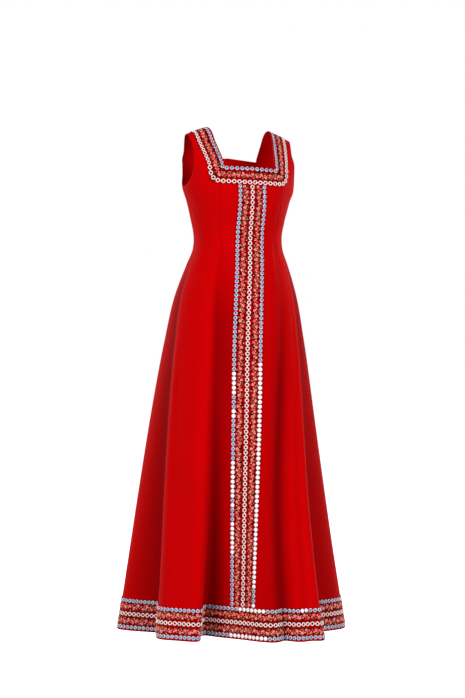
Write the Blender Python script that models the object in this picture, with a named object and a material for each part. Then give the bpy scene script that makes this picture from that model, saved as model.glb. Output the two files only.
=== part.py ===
"""Sarafan: a long sleeveless folk dress with wide shoulder straps and a square neck.

Red princess-line panels run from the neck and shoulders to a fluted hem.
Patterned ribbon lies on them round the neck, down the centre front and round the hem.

Metres, +Z up. The front faces -Y. The origin lies under the shoulders, midway between the straps,
where the wearer's shoulders hold the dress. Left is -X and right is +X.
"""

import math

import bmesh
import bpy
import numpy as np

# Cloth
WALL = 0.0015
RIBBON = 0.0012
GAP = 0.0003

# Ribbon: the full width runs down the front and round the hem, and half of it round the neck
BAND_WIDTH = 0.080
NECK_BAND_WIDTH = 0.0455
NECK_BAND_CORNER = 0.013
HEM_MARGIN = 0.002

# Heights along the cloth, measured down from the shoulder, and the side seam's bearing in degrees
UNDERARM = 0.1965
ARMPIT = 0.198
SIDE_SEAM = 90.0
WAIST = 0.325
MID = 0.795
HEM = 1.340
FRONT_NECK = 0.148
BACK_NECK = 0.118
FOLDS_START = 0.355

# The strap on one side sits a little higher than on the other, as under a raised arm
SHOULDER_TILT = 0.045
STRAP_START = 0.080

# Sections of the dress, from the shoulder to the hem. down is the way along the cloth, inner_front and
# inner_back are the neck edge and then the princess seam, outer is the armhole edge and then the side
# seam (degrees from the centre front or the centre back), and turn is where the centre front lies.
SECTION_COLUMNS = (
    "down", "z", "half_width", "front", "back", "power", "slope",
    "inner_front", "inner_back", "outer", "turn", "shift_x", "shift_y",
)
SECTIONS = (
    (0.000, 0.000, 0.180, 0.000, 0.000, 2.15, 0.36, 25.6, 25.6, 51.1, 0.0, 0.000, 0.000),
    (0.021, -0.005, 0.179, 0.020, 0.020, 2.15, 0.34, 25.4, 25.6, 50.2, 0.0, 0.000, 0.000),
    (0.042, -0.018, 0.178, 0.036, 0.035, 2.15, 0.30, 25.0, 25.4, 49.5, 0.0, 0.000, 0.000),
    (0.065, -0.037, 0.176, 0.050, 0.047, 2.15, 0.22, 24.6, 25.2, 49.3, 0.0, 0.000, 0.000),
    (0.090, -0.0565, 0.172, 0.065, 0.057, 2.15, 0.14, 24.0, 24.8, 50.4, 0.0, 0.000, 0.000),
    (0.118, -0.079, 0.168, 0.083, 0.066, 2.15, 0.08, 23.3, 24.4, 54.0, 0.0, 0.000, 0.000),
    (0.148, -0.103, 0.158, 0.099, 0.074, 2.15, 0.03, 23.6, 28.0, 59.6, 0.0, 0.000, 0.000),
    (0.173, -0.128, 0.151, 0.105, 0.080, 2.15, 0.01, 26.8, 31.0, 67.0, 0.0, 0.000, 0.000),
    (0.190, -0.145, 0.148, 0.107, 0.083, 2.15, 0.00, 29.2, 32.6, 77.0, 0.0, 0.000, 0.000),
    (0.1965, -0.1515, 0.1472, 0.1078, 0.0838, 2.15, 0.00, 30.2, 33.25, 84.4, 0.0, 0.000, 0.000),
    (0.198, -0.153, 0.147, 0.108, 0.084, 2.15, 0.00, 30.4, 33.4, 90.0, 0.0, 0.000, 0.000),
    (0.235, -0.190, 0.1345, 0.109, 0.086, 2.15, 0.00, 35.5, 36.4, 90.0, 0.0, 0.000, 0.000),
    (0.280, -0.235, 0.1230, 0.101, 0.084, 2.15, 0.00, 38.5, 38.6, 90.0, 0.0, 0.000, 0.000),
    (0.325, -0.280, 0.1150, 0.093, 0.083, 2.12, 0.00, 39.6, 39.6, 90.0, 0.0, 0.000, 0.000),
    (0.357, -0.312, 0.1170, 0.098, 0.092, 2.10, 0.00, 39.6, 39.6, 90.0, -1.0, 0.000, 0.000),
    (0.396, -0.351, 0.1315, 0.112, 0.110, 2.05, 0.00, 39.6, 39.6, 90.0, -2.4, -0.001, 0.001),
    (0.474, -0.429, 0.1575, 0.138, 0.142, 2.00, 0.00, 39.6, 39.6, 90.0, -4.8, -0.004, 0.002),
    (0.591, -0.546, 0.1800, 0.168, 0.172, 2.00, 0.00, 39.6, 39.6, 90.0, -7.3, -0.007, 0.003),
    (0.747, -0.702, 0.2050, 0.197, 0.200, 2.00, 0.00, 39.6, 39.6, 90.0, -8.5, -0.010, 0.004),
    (0.981, -0.936, 0.2385, 0.234, 0.237, 2.00, 0.00, 39.6, 39.6, 90.0, -10.3, -0.012, 0.005),
    (1.215, -1.170, 0.2715, 0.270, 0.272, 2.00, 0.00, 39.6, 39.6, 90.0, -12.0, -0.012, 0.005),
    (1.340, -1.298, 0.2900, 0.287, 0.290, 2.00, 0.00, 39.6, 39.6, 90.0, -12.6, -0.012, 0.005),
)

# The folds of the skirt, one row each, round from the front left. A fold has a left edge, a right edge
# and the valley to the right of it, each with its bearing in degrees from the centre front at the waist,
# at mid skirt and at the hem. The last four columns are how far out each stands at the hem, as a share
# of the section.
FOLD_COLUMNS = (
    "left_waist", "left_mid", "left_hem", "right_waist", "right_mid", "right_hem",
    "valley_waist", "valley_mid", "valley_hem", "left_out", "crest_out", "right_out", "valley_out",
)
FOLDS = (
    (-83.0, -71.0, -64.6, -47.0, -40.0, -39.5, -39.6, -35.0, -48.5, 0.92, 0.91, 0.87, 0.54),
    (-20.0, -22.0, -28.0, 28.0, 8.0, 1.5, 39.6, 15.7, 10.5, 0.60, 0.725, 0.955, 0.90),
    (50.0, 24.5, 14.5, 58.0, 34.5, 27.5, 64.0, 49.0, 42.0, 1.03, 1.05, 1.085, 0.74),
    (70.0, 68.0, 66.0, 82.0, 88.0, 86.0, 90.0, 98.0, 101.0, 0.98, 1.01, 0.98, 0.76),
    (101.0, 111.0, 115.0, 128.0, 132.0, 136.0, 140.4, 145.0, 148.0, 0.96, 1.00, 0.97, 0.72),
    (150.0, 156.0, 160.0, 168.0, 175.0, 180.0, 180.0, 188.0, 193.0, 0.97, 1.01, 0.96, 0.74),
    (190.0, 200.0, 206.0, 208.0, 218.0, 222.0, 219.6, 229.0, 231.0, 0.98, 1.00, 0.96, 0.72),
    (232.0, 238.0, 239.0, 255.0, 254.0, 256.0, 270.0, 276.0, 275.2, 0.98, 1.01, 1.01, 0.73),
)
KNOTS_A_FOLD = 4
COLUMNS_A_FOLD = (2, 2, 3, 3)
FRONT_FOLD = 1
FRONT_CREST = 2

# The first and last seam of each panel, as fold valleys counted from the front left
PANELS = {
    "front_side_left": (-1, 0),
    "front_centre": (0, 1),
    "front_side_right": (1, 3),
    "back_side_right": (3, 4),
    "back_centre_right": (4, 5),
    "back_centre_left": (5, 6),
    "back_side_left": (6, 7),
}
BAND_COLUMNS = 6
BESIDE_BAND = (4, 5)
NECK_BAND_COLUMNS = 3
NECK_BAND_SHARES = (0.1, 0.8)

# Rows of the mesh, down the cloth
STRAP_ROWS = (0.0, 0.014, 0.028, 0.042, 0.065, 0.090)
FRONT_ROWS = (0.118, FRONT_NECK, 0.171, FRONT_NECK + NECK_BAND_WIDTH)
BACK_ROWS = (BACK_NECK, 0.141, BACK_NECK + NECK_BAND_WIDTH, 0.180, 0.190)
BODY_ROWS = (UNDERARM, ARMPIT, 0.235, 0.280, WAIST, 0.357, 0.396, 0.440)
SKIRT_ROWS = (0.50, 0.58, 0.67, 0.77, 0.88, 1.00, 1.12)
HEM_BAND_ROWS = (HEM - HEM_MARGIN - BAND_WIDTH, HEM - HEM_MARGIN - BAND_WIDTH / 2, HEM - HEM_MARGIN)
LOWER_ROWS = BODY_ROWS + SKIRT_ROWS + HEM_BAND_ROWS + (HEM,)

# Colours, roughness and metallic value, and the angle in degrees past which an edge is sharp
SHARP_ANGLE = 40.0
LOOKS = {
    "red_cloth": ((0.58, 0.0, 0.004), 0.85, 0.0),
    "ribbon": ((0.26, 0.03, 0.03), 0.75, 0.0),
}

# Small steps that find the cloth's directions, and points read along a row to measure it
STEP = 0.002
STEP_DEGREES = 0.4
STEP_KNOTS = 0.02
ROW_SAMPLES = 241


def columns_of(names, rows):
    """The table's columns by name."""
    return {name: np.array([row[i] for row in rows]) for i, name in enumerate(names)}


SECTION = columns_of(SECTION_COLUMNS, SECTIONS)
FOLD = columns_of(FOLD_COLUMNS, FOLDS)


def smooth_between(places, values, at):
    """A smooth curve through the values at the places, read at one place."""
    slopes = np.gradient(values, places)
    i = int(np.clip(np.searchsorted(places, at) - 1, 0, len(places) - 2))
    width = places[i + 1] - places[i]
    u = (at - places[i]) / width
    return (
        values[i] * (1 + 2 * u) * (1 - u) ** 2
        + values[i + 1] * u * u * (3 - 2 * u)
        + width * (slopes[i] * u * (1 - u) ** 2 - slopes[i + 1] * u * u * (1 - u))
    )


def section(down):
    return {name: smooth_between(SECTION["down"], SECTION[name], down) for name in SECTION_COLUMNS}


def ease(value):
    value = min(max(value, 0.0), 1.0)
    return value * value * (3 - 2 * value)


def point_at(down, bearing, out):
    """The inner face of the cloth at a place down it and a bearing round it, for arrays of bearings."""
    cut = section(down)
    angle = np.radians(bearing)
    sine, cosine = np.sin(angle), np.cos(angle)
    power = 2 / cut["power"]
    depth = np.where(cosine >= 0, cut["front"], cut["back"])
    x = out * cut["half_width"] * np.sign(sine) * np.abs(sine) ** power
    y = -out * depth * np.sign(cosine) * np.abs(cosine) ** power
    tilt = SHOULDER_TILT * (1 - ease((down - FRONT_NECK) / (WAIST - FRONT_NECK)))
    z = cut["z"] - cut["slope"] * (np.abs(x) - STRAP_START) - tilt * x
    return np.stack([x + cut["shift_x"], y + cut["shift_y"], z + 0 * x], axis=-1)


def through_waist_mid_hem(waist, mid, hem, down):
    """The parabola through the three values, and level above the waist."""
    a, b, c = WAIST, MID, HEM
    d = max(down, WAIST)
    return (
        waist * (d - b) * (d - c) / ((a - b) * (a - c))
        + mid * (d - a) * (d - c) / ((b - a) * (b - c))
        + hem * (d - a) * (d - b) / ((c - a) * (c - b))
    )


def knots(down):
    """Bearings and outs of every fold's left edge, crest, right edge and valley at this height."""
    grown = max(down - FOLDS_START, 0.0) / (HEM - FOLDS_START)
    lines = {
        part: through_waist_mid_hem(
            FOLD[part + "_waist"], FOLD[part + "_mid"], FOLD[part + "_hem"], down
        )
        for part in ("left", "right", "valley")
    }
    crest = (lines["left"] + lines["right"]) / 2
    crest[FRONT_FOLD] = section(down)["turn"]
    bearings = np.stack([lines["left"], crest, lines["right"], lines["valley"]], axis=1).ravel()
    outs = np.stack(
        [FOLD["left_out"], FOLD["crest_out"], FOLD["right_out"], FOLD["valley_out"]], axis=1
    ).ravel()
    return bearings, 1 + grown * (outs - 1)


def round_curve(values, turn, at):
    """A closed smooth curve through the values, each lap adding turn, read at an array of places."""
    count = len(values)
    i = np.floor(at).astype(int)
    u = at - i

    def value(k):
        return values[k % count] + turn * np.floor_divide(k, count)

    before, start, end, after = value(i - 1), value(i), value(i + 1), value(i + 2)
    return (
        start
        + 0.5 * u * (end - before)
        + u * u * (before - 2.5 * start + 2 * end - 0.5 * after)
        + u**3 * (1.5 * (start - end) + 0.5 * (after - before))
    )


def valley_place(valley):
    return KNOTS_A_FOLD * valley + KNOTS_A_FOLD - 1


def ring(down, places):
    """Bearings and outs round the skirt at places counted in knots."""
    bearings, outs = knots(down)
    return round_curve(bearings, 360.0, places), round_curve(outs, 0.0, places)


def panel_places(panel):
    """The places of a panel's columns, in knots."""
    first, last = PANELS[panel]
    places = [float(valley_place(first))]
    for _fold in range(first, last):
        for count in COLUMNS_A_FOLD:
            start = places[-1]
            places += [start + (k + 1) / count for k in range(count)]
    return np.array(places)


def mirrored(panel):
    return panel.endswith("left")


def upper_edges(panel, down):
    """Bearings of a panel's two edges above the waist, from the table."""
    cut = section(down)
    outer = min(cut["outer"], SIDE_SEAM)
    if panel == "front_centre":
        return -cut["inner_front"], cut["inner_front"]
    if panel.startswith("front_side"):
        near, far = cut["inner_front"], outer
    elif panel.startswith("back_side"):
        near, far = 180 - outer, 180 - cut["inner_back"]
    else:
        near, far = 180 - cut["inner_back"], 180.0
    if not mirrored(panel):
        return near, far
    return (-far, -near) if panel.startswith("front") else (360 - far, 360 - near)


def lengths_along(points):
    steps = np.linalg.norm(np.diff(points, axis=0), axis=1)
    return np.concatenate([[0.0], np.cumsum(steps)])


def band_stops(start, middle, end):
    """Column lengths across the front centre panel, with the ribbon's edges among them."""
    left, right = middle - BAND_WIDTH / 2, middle + BAND_WIDTH / 2
    return np.concatenate(
        [
            np.linspace(start, left, BESIDE_BAND[0] + 1)[:-1],
            np.linspace(left, right, BAND_COLUMNS + 1)[:-1],
            np.linspace(right, end, BESIDE_BAND[1] + 1),
        ]
    )


def centre_row(down):
    """Bearings and outs of the front centre panel's columns."""
    if down > WAIST:
        places = np.linspace(valley_place(0), valley_place(1), ROW_SAMPLES)
        bearings, outs = ring(down, places)
        middle_place = valley_place(0) + FRONT_CREST
    else:
        left, right = upper_edges("front_centre", down)
        places = np.linspace(left, right, ROW_SAMPLES)
        bearings, outs = places, np.ones_like(places)
        middle_place = 0.0
    run = lengths_along(point_at(down, bearings, outs))
    middle = np.interp(middle_place, places, run)
    stops = band_stops(0.0, middle, run[-1])
    return np.interp(stops, run, bearings), np.interp(stops, run, outs)


def run_between(down, start, end):
    """The length of cloth between two bearings above the waist."""
    bearings = np.linspace(start, end, ROW_SAMPLES)
    return lengths_along(point_at(down, bearings, np.ones_like(bearings)))[-1]


def strap_shares(panel, down, count):
    """Shares across a strap, with the neck ribbon's outer edge after its own columns.

    Below the neck corner the ribbon's edge runs on straight down while the seam moves out to meet it,
    and its lower corner is cut off.
    """
    side, neck = ("inner_front", FRONT_NECK) if panel.startswith("front") else ("inner_back", BACK_NECK)
    near, far = upper_edges(panel, down)
    seam, corner = section(down)[side], section(min(down, neck))[side]
    width = NECK_BAND_WIDTH - run_between(down, corner, seam)
    if down >= neck + NECK_BAND_WIDTH:
        width -= NECK_BAND_CORNER
    band = np.clip(width / run_between(down, near, far), *NECK_BAND_SHARES)
    shares = np.concatenate(
        [
            np.linspace(0, band, NECK_BAND_COLUMNS + 1)[:-1],
            np.linspace(band, 1, count - NECK_BAND_COLUMNS),
        ]
    )
    inner_first = panel in ("front_side_right", "back_side_left")
    return shares if inner_first else 1 - shares[::-1]


def panel_row(panel, down):
    """Bearings and outs of a panel's columns at this height."""
    if panel == "front_centre":
        return centre_row(down)
    places = panel_places(panel)
    if down > WAIST:
        return ring(down, places)
    at_waist, _outs = ring(WAIST, places)
    shares = (at_waist - at_waist[0]) / (at_waist[-1] - at_waist[0])
    band_end = FRONT_NECK if panel.startswith("front") else BACK_NECK
    band_end += NECK_BAND_WIDTH
    lower = ease((down - band_end) / (WAIST - band_end))
    shares = lower * shares + (1 - lower) * strap_or_centre(panel, down, len(places))
    near, far = upper_edges(panel, down)
    return near + shares * (far - near), np.ones_like(shares)


def strap_or_centre(panel, down, count):
    """Shares across a panel near its top: ribbon columns on a strap, and even ones at the centre back."""
    if "side" in panel:
        return strap_shares(panel, down, count)
    return np.linspace(0, 1, count)


def unit(vectors):
    return vectors / np.linalg.norm(vectors, axis=-1, keepdims=True)


def grid(panel, downs):
    """Points of a panel's inner face, with the outward, sideways and downward directions there."""
    points, sideways, downward = [], [], []
    for down in downs:
        bearings, outs = panel_row(panel, down)
        points.append(point_at(down, bearings, outs))
        if down > WAIST:
            places = places_in_row(panel, down, bearings, outs)
            before = point_at(down, *ring(down, places - STEP_KNOTS))
            after = point_at(down, *ring(down, places + STEP_KNOTS))
            above = point_at(down - STEP, *ring(down - STEP, places))
            below_down = min(down + STEP, HEM)
            below = point_at(below_down, *ring(below_down, places))
        else:
            before = point_at(down, bearings - STEP_DEGREES, outs)
            after = point_at(down, bearings + STEP_DEGREES, outs)
            above = point_at(max(down - STEP, 0.0), bearings, outs)
            below = point_at(down + STEP, bearings, outs)
        sideways.append(unit(after - before))
        downward.append(unit(below - above))
    points, sideways, downward = map(np.array, (points, sideways, downward))
    outward = unit(np.cross(downward, sideways))
    return points, outward, sideways, downward


def places_in_row(panel, down, bearings, outs):
    """The places in knots of a row's columns."""
    if panel != "front_centre":
        return panel_places(panel)
    places = np.linspace(valley_place(0), valley_place(1), ROW_SAMPLES)
    dense = point_at(down, *ring(down, places))
    row = point_at(down, bearings, outs)
    found = [places[np.argmin(np.linalg.norm(dense - point, axis=1))] for point in row]
    found[0], found[-1] = places[0], places[-1]
    return np.array(found)


def material(name):
    colour, roughness, metallic = LOOKS[name]
    made = bpy.data.materials.get(name)
    if made:
        return made
    made = bpy.data.materials.new(name)
    made.use_nodes = True
    shader = made.node_tree.nodes["Principled BSDF"]
    shader.inputs["Base Color"].default_value = (*colour, 1.0)
    shader.inputs["Roughness"].default_value = roughness
    shader.inputs["Metallic"].default_value = metallic
    return made


def wall(name, inner, outer, look):
    """A closed sheet between two grids of points with the same rows and columns."""
    rows, columns = inner.shape[:2]
    build = bmesh.new()
    inside, outside = [[[build.verts.new(p) for p in row] for row in side] for side in (inner, outer)]
    for r in range(rows - 1):
        for c in range(columns - 1):
            build.faces.new((outside[r][c], outside[r + 1][c], outside[r + 1][c + 1], outside[r][c + 1]))
            build.faces.new((inside[r][c], inside[r][c + 1], inside[r + 1][c + 1], inside[r + 1][c]))
    for r in range(rows - 1):
        build.faces.new((inside[r][0], inside[r + 1][0], outside[r + 1][0], outside[r][0]))
        build.faces.new((outside[r][-1], outside[r + 1][-1], inside[r + 1][-1], inside[r][-1]))
    for c in range(columns - 1):
        build.faces.new((outside[0][c], outside[0][c + 1], inside[0][c + 1], inside[0][c]))
        build.faces.new((inside[-1][c], inside[-1][c + 1], outside[-1][c + 1], outside[-1][c]))
    mesh = bpy.data.meshes.new(name)
    build.to_mesh(mesh)
    build.free()
    mesh.shade_smooth()
    mesh.set_sharp_from_angle(angle=math.radians(SHARP_ANGLE))
    mesh.materials.append(material(look))
    made = bpy.data.objects.new(name, mesh)
    bpy.context.scene.collection.objects.link(made)
    return made


def trimmed(points, sideways, downward, ends=(0, 0, 0, 0)):
    """The grid with half a seam gap taken off its first and last rows and columns where ends is 1."""
    points = points.copy()
    top, bottom, first, last = ends
    points[0] += top * downward[0] * GAP / 2
    points[-1] -= bottom * downward[-1] * GAP / 2
    points[:, 0] += first * sideways[:, 0] * GAP / 2
    points[:, -1] -= last * sideways[:, -1] * GAP / 2
    return points


def panel_rows(panel):
    if panel == "front_centre":
        return FRONT_ROWS[1:] + LOWER_ROWS
    if panel.startswith("back_centre"):
        return BACK_ROWS + LOWER_ROWS
    return STRAP_ROWS + (FRONT_ROWS if panel.startswith("front") else BACK_ROWS) + LOWER_ROWS


def make_panel(panel):
    points, outward, sideways, downward = grid(panel, panel_rows(panel))
    has_shoulder = "side" in panel
    inner = trimmed(points, sideways, downward, (has_shoulder, 0, 1, 1))
    return wall(panel, inner, inner + WALL * outward, "red_cloth")


def join_columns(grids):
    """Grids side by side made one, with each shared seam column kept once."""
    return [
        np.concatenate([g[k] if i == 0 else g[k][:, 1:] for i, g in enumerate(grids)], axis=1)
        for k in range(4)
    ]


def make_ribbon(name, pieces, ends):
    points, outward, sideways, downward = pieces
    base = trimmed(points, sideways, downward, ends)
    lift = WALL + GAP
    return wall(name, base + lift * outward, base + (lift + RIBBON) * outward, "ribbon")


def part_of(pieces, columns):
    return [block[:, columns] for block in pieces]


def neck_columns(panel):
    """The columns of a side panel that lie under the neck ribbon."""
    if panel in ("front_side_right", "back_side_left"):
        return slice(0, NECK_BAND_COLUMNS + 1)
    return slice(-NECK_BAND_COLUMNS - 1, None)


def make_neck_bands():
    front_rows = FRONT_ROWS[1:]
    back_rows = BACK_ROWS[:3]
    front = [
        part_of(grid("front_side_left", front_rows), neck_columns("front_side_left")),
        grid("front_centre", front_rows),
        part_of(grid("front_side_right", front_rows), neck_columns("front_side_right")),
    ]
    make_ribbon("neck_band_front", join_columns(front), (1, 1, 0, 0))
    back = [
        part_of(grid("back_side_right", back_rows), neck_columns("back_side_right")),
        grid("back_centre_right", back_rows),
        grid("back_centre_left", back_rows),
        part_of(grid("back_side_left", back_rows), neck_columns("back_side_left")),
    ]
    make_ribbon("neck_band_back", join_columns(back), (1, 0, 0, 0))
    for side in ("left", "right"):
        make_strap_band(side)


def make_strap_band(side):
    """The neck ribbon over one shoulder, from the front corner to the back corner."""
    front_panel, back_panel = "front_side_" + side, "back_side_" + side
    up = grid(front_panel, STRAP_ROWS + FRONT_ROWS[:2])
    over = grid(back_panel, STRAP_ROWS + BACK_ROWS[:1])
    up = [block[::-1] for block in part_of(up, neck_columns(front_panel))]
    over = [block[1:, ::-1] for block in part_of(over, neck_columns(back_panel))]
    points, outward, sideways, downward = (np.concatenate(pair) for pair in zip(up, over))
    along = downward.copy()
    along[: len(up[0])] *= -1
    base = trimmed(points, sideways, along, (1, 1, 0, 0))[::-1]
    outward = outward[::-1]
    lift = WALL + GAP
    wall("neck_band_" + side, base + lift * outward, base + (lift + RIBBON) * outward, "ribbon")


def make_front_band():
    rows = [r for r in panel_rows("front_centre") if FRONT_NECK + NECK_BAND_WIDTH <= r <= HEM_BAND_ROWS[0]]
    across = slice(BESIDE_BAND[0], BESIDE_BAND[0] + BAND_COLUMNS + 1)
    make_ribbon("front_band", part_of(grid("front_centre", rows), across), (1, 1, 0, 0))


def make_hem_bands():
    front = ("front_side_left", "front_centre", "front_side_right")
    back = ("back_side_right", "back_centre_right", "back_centre_left", "back_side_left")
    for name, panels in (("hem_band_front", front), ("hem_band_back", back)):
        make_ribbon(name, join_columns([grid(p, HEM_BAND_ROWS) for p in panels]), (1, 0, 1, 1))


def main():
    for old in list(bpy.data.objects):
        bpy.data.objects.remove(old)
    for panel in PANELS:
        make_panel(panel)
    make_neck_bands()
    make_front_band()
    make_hem_bands()


main()
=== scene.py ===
"""A red folk dress with wide straps and ribbon trim, in the form it has when worn, in plain studio light.

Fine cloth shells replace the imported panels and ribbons. They repeat the tables and curves that shape
the solids, with soft creases, seams and sewing added. The ribbons carry rings, sequins and flowers.
Metres, +Z up. The front faces -Y, left is -X and right is +X.
"""

import math
from functools import lru_cache

import bpy
import numpy as np
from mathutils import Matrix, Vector


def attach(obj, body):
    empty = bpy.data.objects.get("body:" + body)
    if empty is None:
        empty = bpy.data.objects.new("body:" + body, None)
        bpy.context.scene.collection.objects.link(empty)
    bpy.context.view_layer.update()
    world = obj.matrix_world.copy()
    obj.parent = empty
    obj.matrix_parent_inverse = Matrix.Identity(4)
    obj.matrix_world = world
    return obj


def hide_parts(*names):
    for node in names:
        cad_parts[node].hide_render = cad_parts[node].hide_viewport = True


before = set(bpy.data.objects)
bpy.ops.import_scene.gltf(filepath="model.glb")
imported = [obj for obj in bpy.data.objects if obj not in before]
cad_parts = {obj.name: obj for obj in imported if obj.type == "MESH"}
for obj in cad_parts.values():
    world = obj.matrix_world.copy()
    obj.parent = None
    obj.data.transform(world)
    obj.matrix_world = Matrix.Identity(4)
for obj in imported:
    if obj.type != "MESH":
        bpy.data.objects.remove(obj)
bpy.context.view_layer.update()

BODY = "root"

# Camera and stage
VIEW_TURN = -20.0
VIEW_DISTANCE = 6.0
VIEW_SHIFT = -0.013
AIM_HEIGHT = -0.57
EYE_HEIGHT = -0.41
LENS = 119.0
FLOOR_HEIGHT = -1.462

# Cloth, ribbon and heights along the cloth, as in the solids
WALL = 0.0015
RIBBON = 0.0012
GAP = 0.0003
RIBBON_FACE = WALL + GAP + RIBBON
BAND_WIDTH = 0.080
NECK_BAND_WIDTH = 0.0455
NECK_BAND_ROUND = 0.020
HEM_MARGIN = 0.002
ARMPIT = 0.198
SIDE_SEAM = 90.0
WAIST = 0.325
MID = 0.795
HEM = 1.340
FRONT_NECK = 0.148
BACK_NECK = 0.118
FOLDS_START = 0.355
SHOULDER_TILT = 0.045
STRAP_START = 0.080
HEM_BAND_TOP = HEM - HEM_MARGIN - BAND_WIDTH

SECTION_COLUMNS = (
    "down", "z", "half_width", "front", "back", "power", "slope",
    "inner_front", "inner_back", "outer", "turn", "shift_x", "shift_y",
)
SECTIONS = (
    (0.000, 0.000, 0.180, 0.000, 0.000, 2.15, 0.36, 25.6, 25.6, 51.1, 0.0, 0.000, 0.000),
    (0.021, -0.005, 0.179, 0.020, 0.020, 2.15, 0.34, 25.4, 25.6, 50.2, 0.0, 0.000, 0.000),
    (0.042, -0.018, 0.178, 0.036, 0.035, 2.15, 0.30, 25.0, 25.4, 49.5, 0.0, 0.000, 0.000),
    (0.065, -0.037, 0.176, 0.050, 0.047, 2.15, 0.22, 24.6, 25.2, 49.3, 0.0, 0.000, 0.000),
    (0.090, -0.0565, 0.172, 0.065, 0.057, 2.15, 0.14, 24.0, 24.8, 50.4, 0.0, 0.000, 0.000),
    (0.118, -0.079, 0.168, 0.083, 0.066, 2.15, 0.08, 23.3, 24.4, 54.0, 0.0, 0.000, 0.000),
    (0.148, -0.103, 0.158, 0.099, 0.074, 2.15, 0.03, 23.6, 28.0, 59.6, 0.0, 0.000, 0.000),
    (0.173, -0.128, 0.151, 0.105, 0.080, 2.15, 0.01, 26.8, 31.0, 67.0, 0.0, 0.000, 0.000),
    (0.190, -0.145, 0.148, 0.107, 0.083, 2.15, 0.00, 29.2, 32.6, 77.0, 0.0, 0.000, 0.000),
    (0.1965, -0.1515, 0.1472, 0.1078, 0.0838, 2.15, 0.00, 30.2, 33.25, 84.4, 0.0, 0.000, 0.000),
    (0.198, -0.153, 0.147, 0.108, 0.084, 2.15, 0.00, 30.4, 33.4, 90.0, 0.0, 0.000, 0.000),
    (0.235, -0.190, 0.1345, 0.109, 0.086, 2.15, 0.00, 35.5, 36.4, 90.0, 0.0, 0.000, 0.000),
    (0.280, -0.235, 0.1230, 0.101, 0.084, 2.15, 0.00, 38.5, 38.6, 90.0, 0.0, 0.000, 0.000),
    (0.325, -0.280, 0.1150, 0.093, 0.083, 2.12, 0.00, 39.6, 39.6, 90.0, 0.0, 0.000, 0.000),
    (0.357, -0.312, 0.1170, 0.098, 0.092, 2.10, 0.00, 39.6, 39.6, 90.0, -1.0, 0.000, 0.000),
    (0.396, -0.351, 0.1315, 0.112, 0.110, 2.05, 0.00, 39.6, 39.6, 90.0, -2.4, -0.001, 0.001),
    (0.474, -0.429, 0.1575, 0.138, 0.142, 2.00, 0.00, 39.6, 39.6, 90.0, -4.8, -0.004, 0.002),
    (0.591, -0.546, 0.1800, 0.168, 0.172, 2.00, 0.00, 39.6, 39.6, 90.0, -7.3, -0.007, 0.003),
    (0.747, -0.702, 0.2050, 0.197, 0.200, 2.00, 0.00, 39.6, 39.6, 90.0, -8.5, -0.010, 0.004),
    (0.981, -0.936, 0.2385, 0.234, 0.237, 2.00, 0.00, 39.6, 39.6, 90.0, -10.3, -0.012, 0.005),
    (1.215, -1.170, 0.2715, 0.270, 0.272, 2.00, 0.00, 39.6, 39.6, 90.0, -12.0, -0.012, 0.005),
    (1.340, -1.298, 0.2900, 0.287, 0.290, 2.00, 0.00, 39.6, 39.6, 90.0, -12.6, -0.012, 0.005),
)

FOLD_COLUMNS = (
    "left_waist", "left_mid", "left_hem", "right_waist", "right_mid", "right_hem",
    "valley_waist", "valley_mid", "valley_hem", "left_out", "crest_out", "right_out", "valley_out",
)
FOLDS = (
    (-83.0, -71.0, -64.6, -47.0, -40.0, -39.5, -39.6, -35.0, -48.5, 0.92, 0.91, 0.87, 0.54),
    (-20.0, -22.0, -28.0, 28.0, 8.0, 1.5, 39.6, 15.7, 10.5, 0.60, 0.725, 0.955, 0.90),
    (50.0, 24.5, 14.5, 58.0, 34.5, 27.5, 64.0, 49.0, 42.0, 1.03, 1.05, 1.085, 0.74),
    (70.0, 68.0, 66.0, 82.0, 88.0, 86.0, 90.0, 98.0, 101.0, 0.98, 1.01, 0.98, 0.76),
    (101.0, 111.0, 115.0, 128.0, 132.0, 136.0, 140.4, 145.0, 148.0, 0.96, 1.00, 0.97, 0.72),
    (150.0, 156.0, 160.0, 168.0, 175.0, 180.0, 180.0, 188.0, 193.0, 0.97, 1.01, 0.96, 0.74),
    (190.0, 200.0, 206.0, 208.0, 218.0, 222.0, 219.6, 229.0, 231.0, 0.98, 1.00, 0.96, 0.72),
    (232.0, 238.0, 239.0, 255.0, 254.0, 256.0, 270.0, 276.0, 275.2, 0.98, 1.01, 1.01, 0.73),
)
KNOTS_A_FOLD = 4
LAP = KNOTS_A_FOLD * len(FOLDS)
FRONT_FOLD = 1

# The first and last seam of each panel, as fold valleys counted from the front left
PANELS = {
    "front_side_left": (-1, 0),
    "front_centre": (0, 1),
    "front_side_right": (1, 3),
    "back_side_right": (3, 4),
    "back_centre_right": (4, 5),
    "back_centre_left": (5, 6),
    "back_side_left": (6, 7),
}

# Each panel's cut: widest across, length, and area
CUTS = {
    "front_side_left": (0.33, 1.36, 0.240),
    "front_centre": (0.27, 1.21, 0.225),
    "front_side_right": (0.57, 1.36, 0.365),
    "back_side_right": (0.29, 1.34, 0.213),
    "back_centre_right": (0.28, 1.25, 0.199),
    "back_centre_left": (0.26, 1.25, 0.190),
    "back_side_left": (0.30, 1.35, 0.220),
}

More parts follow.
